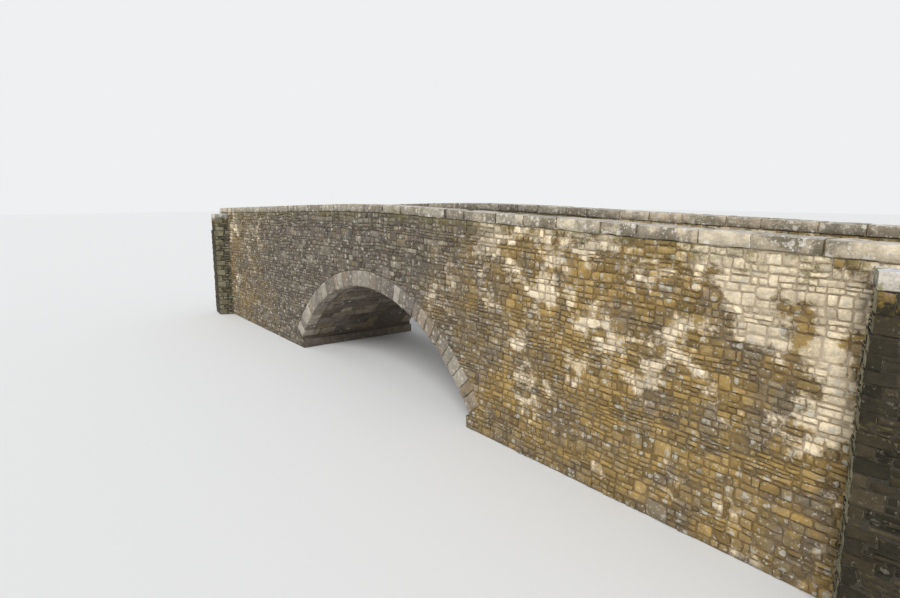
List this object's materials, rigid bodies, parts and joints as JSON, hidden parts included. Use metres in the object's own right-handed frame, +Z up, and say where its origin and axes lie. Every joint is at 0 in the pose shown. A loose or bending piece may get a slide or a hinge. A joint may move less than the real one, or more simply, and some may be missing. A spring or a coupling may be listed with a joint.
{
  "type": "stone arch bridge",
  "caption": "Small rubble-stone road bridge with one segmental arch, gently humped parapets under a dressed coping and a low capped pier at each corner.",
  "frame": {"origin": "under the crown of the arch, on the bridge's middle, at the founding level", "axes": "+X along the road, -Y out of the near face, +Z up"},
  "size_m": [28.8, 5.98, 5.4],
  "materials": {
    "rubble_stone": "rough rubble masonry",
    "arch_stone": "rough-dressed ring stone",
    "dressed_stone": "weathered dressed stone",
    "packed_earth": "packed rubble and gravel"
  },
  "bodies": {
    "root": {"abutment_left": "rubble_stone", "abutment_right": "rubble_stone", "arch_barrel_left": "arch_stone", "arch_barrel_right": "arch_stone", "arch_ring_far_left": "arch_stone", "arch_ring_far_right": "arch_stone", "arch_ring_near_left": "arch_stone", "arch_ring_near_right": "arch_stone", "coping_far_left": "dressed_stone", "coping_far_right": "dressed_stone", "coping_near_left": "dressed_stone", "coping_near_right": "dressed_stone", "end_wall_left": "rubble_stone", "end_wall_right": "rubble_stone", "fill_left": "packed_earth", "fill_right": "packed_earth", "footing_left": "rubble_stone", "footing_right": "rubble_stone", "keystone_far": "arch_stone", "keystone_near": "arch_stone", "parapet_far_left": "rubble_stone", "parapet_far_right": "rubble_stone", "parapet_near_left": "rubble_stone", "parapet_near_right": "rubble_stone", "pier_cap_far_left": "dressed_stone", "pier_cap_far_right": "dressed_stone", "pier_cap_near_left": "dressed_stone", "pier_cap_near_right": "dressed_stone", "pier_far_left": "rubble_stone", "pier_far_right": "rubble_stone", "pier_near_left": "rubble_stone", "pier_near_right": "rubble_stone", "roadway": "packed_earth", "spandrel_far_left": "rubble_stone", "spandrel_far_right": "rubble_stone", "spandrel_near_left": "rubble_stone", "spandrel_near_right": "rubble_stone", "wing_wall_far_left": "rubble_stone", "wing_wall_far_right": "rubble_stone", "wing_wall_near_left": "rubble_stone", "wing_wall_near_right": "rubble_stone"}
  },
  "joints": []
}
